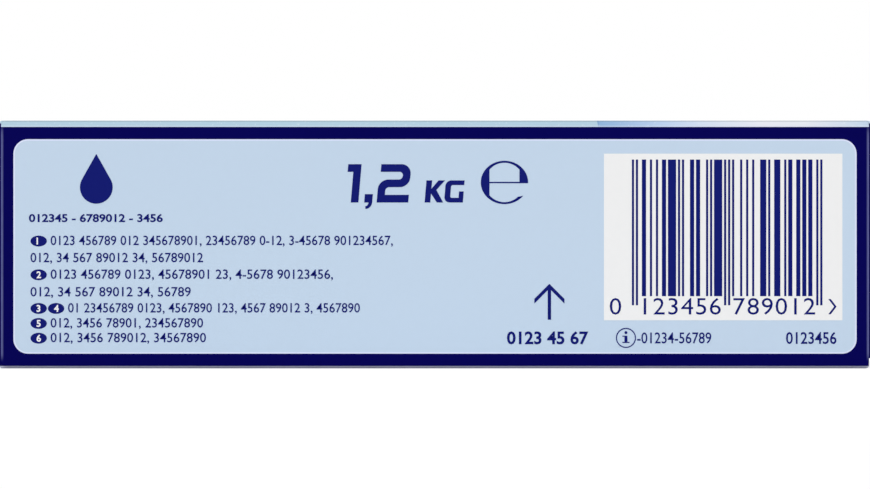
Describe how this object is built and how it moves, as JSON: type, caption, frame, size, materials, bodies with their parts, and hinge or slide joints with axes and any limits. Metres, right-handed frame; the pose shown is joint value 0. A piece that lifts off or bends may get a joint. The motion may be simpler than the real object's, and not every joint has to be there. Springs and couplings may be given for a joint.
{
  "type": "dishwasher salt pack",
  "caption": "Sealed rectangular carton pack of dishwasher salt, lying on its back panel, with glued end flaps and a printed bottom end.",
  "frame": {"origin": "middle of the back panel's outside face, which the pack lies on", "axes": "+X to the right across the front panel seen from the bottom end, +Y from the bottom end to the top end, +Z from the back panel up to the front panel"},
  "size_m": [0.1436, 0.19, 0.0408],
  "materials": {
    "printed_board": "coated folding carton board printed in pale blue and dark navy under a satin varnish"
  },
  "bodies": {
    "root": {"carton": "printed_board"}
  },
  "joints": []
}
